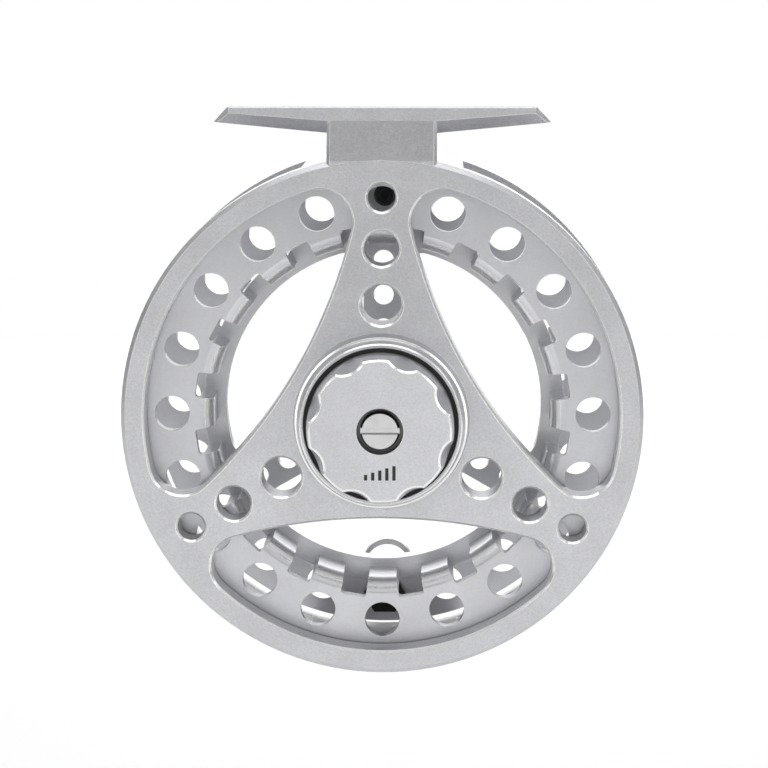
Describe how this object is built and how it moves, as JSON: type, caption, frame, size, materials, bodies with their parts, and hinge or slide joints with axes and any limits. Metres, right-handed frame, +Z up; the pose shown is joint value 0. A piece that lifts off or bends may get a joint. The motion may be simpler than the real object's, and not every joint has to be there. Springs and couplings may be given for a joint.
{
  "type": "fly reel",
  "caption": "Large-arbor fly fishing reel: pierced die-cast frame with foot, ported spool with crank handle and balance weight, disc drag set by a scalloped knob.",
  "frame": {"origin": "centre of the reel foot's top flat face, which seats against the rod", "axes": "+Z up out of the foot, +Y along the reel axis from the drag-knob side to the handle side, +X along the foot"},
  "size_m": [0.0836, 0.0613, 0.0915],
  "materials": {
    "frame_paint": "satin silver paint over die-cast aluminium, fine sparkle",
    "spool_paint": "satin silver paint, smooth",
    "knob_paint": "satin silver paint, fine sparkle",
    "handle_silver": "turned and satin anodised",
    "cover_silver": "turned and satin anodised",
    "polished_steel": "polished",
    "plain_steel": "ground",
    "dark_steel": "black oxide",
    "brass": "turned",
    "friction": "woven carbon composite, matt",
    "rubber": "matt",
    "bush_plastic": "acetal, matt"
  },
  "bodies": {
    "frame": {"frame": "frame_paint", "reel_foot": "frame_paint", "foot_screws": "plain_steel", "spindle": "plain_steel", "spindle_nut": "plain_steel", "knob_screw": "polished_steel", "knob_seal": "rubber", "drag_cover": "plain_steel", "rear_bearing_inner_race": "polished_steel", "front_bearing_inner_race": "polished_steel", "bearing_spacer": "plain_steel"},
    "drag_knob": {"drag_knob": "knob_paint", "knob_insert": "brass", "spring_seat": "plain_steel"},
    "pressure_set": {"thrust_washer": "plain_steel", "push_pins": "plain_steel", "pressure_plate": "plain_steel", "disc_springs": "plain_steel"},
    "drag_rotor": {"drag_rotor": "plain_steel", "rear_friction_disc": "friction", "front_friction_disc": "friction"},
    "spool": {"spool": "spool_paint", "clutch_seal": "rubber", "clutch_shell": "plain_steel", "clutch_rollers": "polished_steel", "rear_bearing_outer_race": "polished_steel", "rear_bearing_balls": "polished_steel", "front_bearing_outer_race": "polished_steel", "front_bearing_balls": "polished_steel", "bearing_clip": "dark_steel", "latch_cover": "cover_silver", "cover_screws": "dark_steel", "handle_post": "polished_steel", "handle_nut": "dark_steel", "handle_screw": "polished_steel", "balance_weight": "cover_silver", "balance_washer": "plain_steel", "balance_screw": "dark_steel"},
    "latch": {"latch_plate": "dark_steel", "latch_spring": "plain_steel"},
    "handle": {"handle_knob": "handle_silver", "handle_bush": "bush_plastic"}
  },
  "joints": [
    {"name": "spool_spin", "type": "hinge", "parent": "frame", "child": "spool", "pos_m": [0, -0.00475, -0.0497], "axis": [0, 1, 0], "continuous": true},
    {"name": "handle_spin", "type": "hinge", "parent": "spool", "child": "handle", "pos_m": [0, 0.02525, -0.0837], "axis": [0, 1, 0], "continuous": true},
    {"name": "drag_knob_turn", "type": "hinge", "parent": "frame", "child": "drag_knob", "pos_m": [0, -0.00475, -0.0497], "axis": [0, 1, 0], "range_deg": [0, 270]},
    {"name": "pressure_slide", "type": "slide", "parent": "frame", "child": "pressure_set", "axis": [0, 1, 0], "range_m": [0, 0.0003], "deforming": ["disc_springs"]},
    {"name": "drag_rotor_spin", "type": "hinge", "parent": "frame", "child": "drag_rotor", "pos_m": [0, -0.00475, -0.0497], "axis": [0, 1, 0], "continuous": true},
    {"name": "latch_slide", "type": "slide", "parent": "spool", "child": "latch", "axis": [1, 0, 0], "range_m": [0, 0.0015], "stiffness_N_per_m": 200, "springref_m": -0.001, "deforming": ["latch_spring"]}
  ],
  "couplings": [
    {"joint": "pressure_slide", "follows": "drag_knob_turn", "m_per_rad": 0.000063662},
    {"joint": "drag_rotor_spin", "follows": "spool_spin", "ratio": 1}
  ]
}
